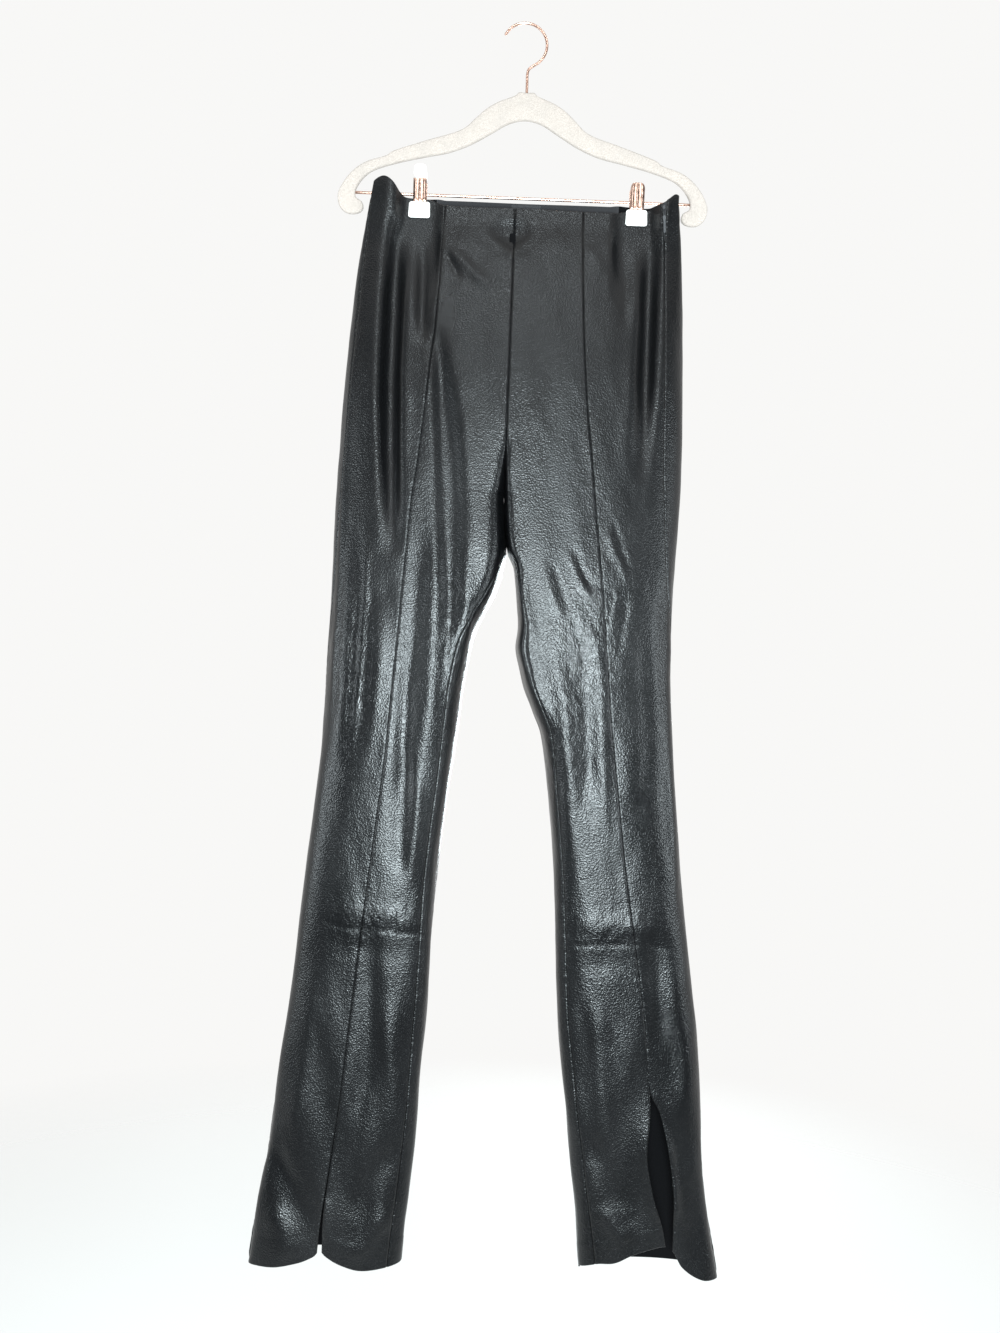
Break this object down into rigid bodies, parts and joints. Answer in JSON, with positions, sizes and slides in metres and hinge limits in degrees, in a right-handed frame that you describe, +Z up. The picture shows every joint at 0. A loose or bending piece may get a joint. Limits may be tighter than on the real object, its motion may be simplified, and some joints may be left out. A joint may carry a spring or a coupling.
{
  "type": "leather trousers on a clip hanger",
  "caption": "Slim high-waisted leather-look trousers with seamed fronts and open hem splits, hung by the waist from a flocked clip hanger.",
  "frame": {"origin": "top of the inner curve of the hanger's hook, where the hook rests on a rail", "axes": "+Z up, +X towards the wearer's left, the front of the trousers faces -Y"},
  "size_m": [0.5305, 0.12, 1.4099],
  "materials": {
    "leather": "semi-gloss coated, fine grain",
    "facing": "matt woven",
    "label": "woven satin, blank",
    "zip_tape": "knitted tape",
    "silver_metal": "plated",
    "rose_gold": "plated, polished",
    "flock": "flocked, matt",
    "rubber": "matt"
  },
  "bodies": {
    "trousers": {"right_front_centre": "leather", "right_front_side": "leather", "right_back": "leather", "left_front_centre": "leather", "left_front_side": "leather", "left_back": "leather", "back_waist_facing": "facing", "blank_label": "label", "zip_tape": "zip_tape", "zip_slider": "silver_metal", "waist_hook": "silver_metal", "hanger_body": "flock", "hanger_hook": "rose_gold", "hanger_bar": "rose_gold", "clip_right_front_plate": "rose_gold", "clip_right_front_pad": "rubber", "clip_right_front_cap": "rubber", "clip_right_back_plate": "rose_gold", "clip_right_back_pad": "rubber", "clip_right_back_cap": "rubber", "clip_right_spring": "silver_metal", "clip_left_front_plate": "rose_gold", "clip_left_front_pad": "rubber", "clip_left_back_plate": "rose_gold", "clip_left_back_pad": "rubber", "clip_left_spring": "silver_metal"},
    "pull_tab": {"zip_pull": "silver_metal"}
  },
  "joints": [
    {"name": "pull_tab_hinge", "type": "hinge", "parent": "trousers", "child": "pull_tab", "pos_m": [0.16346, -0.01547, -0.22237], "axis": [-0.9981, -0.0004, -0.0621], "range_deg": [0, 150]}
  ]
}
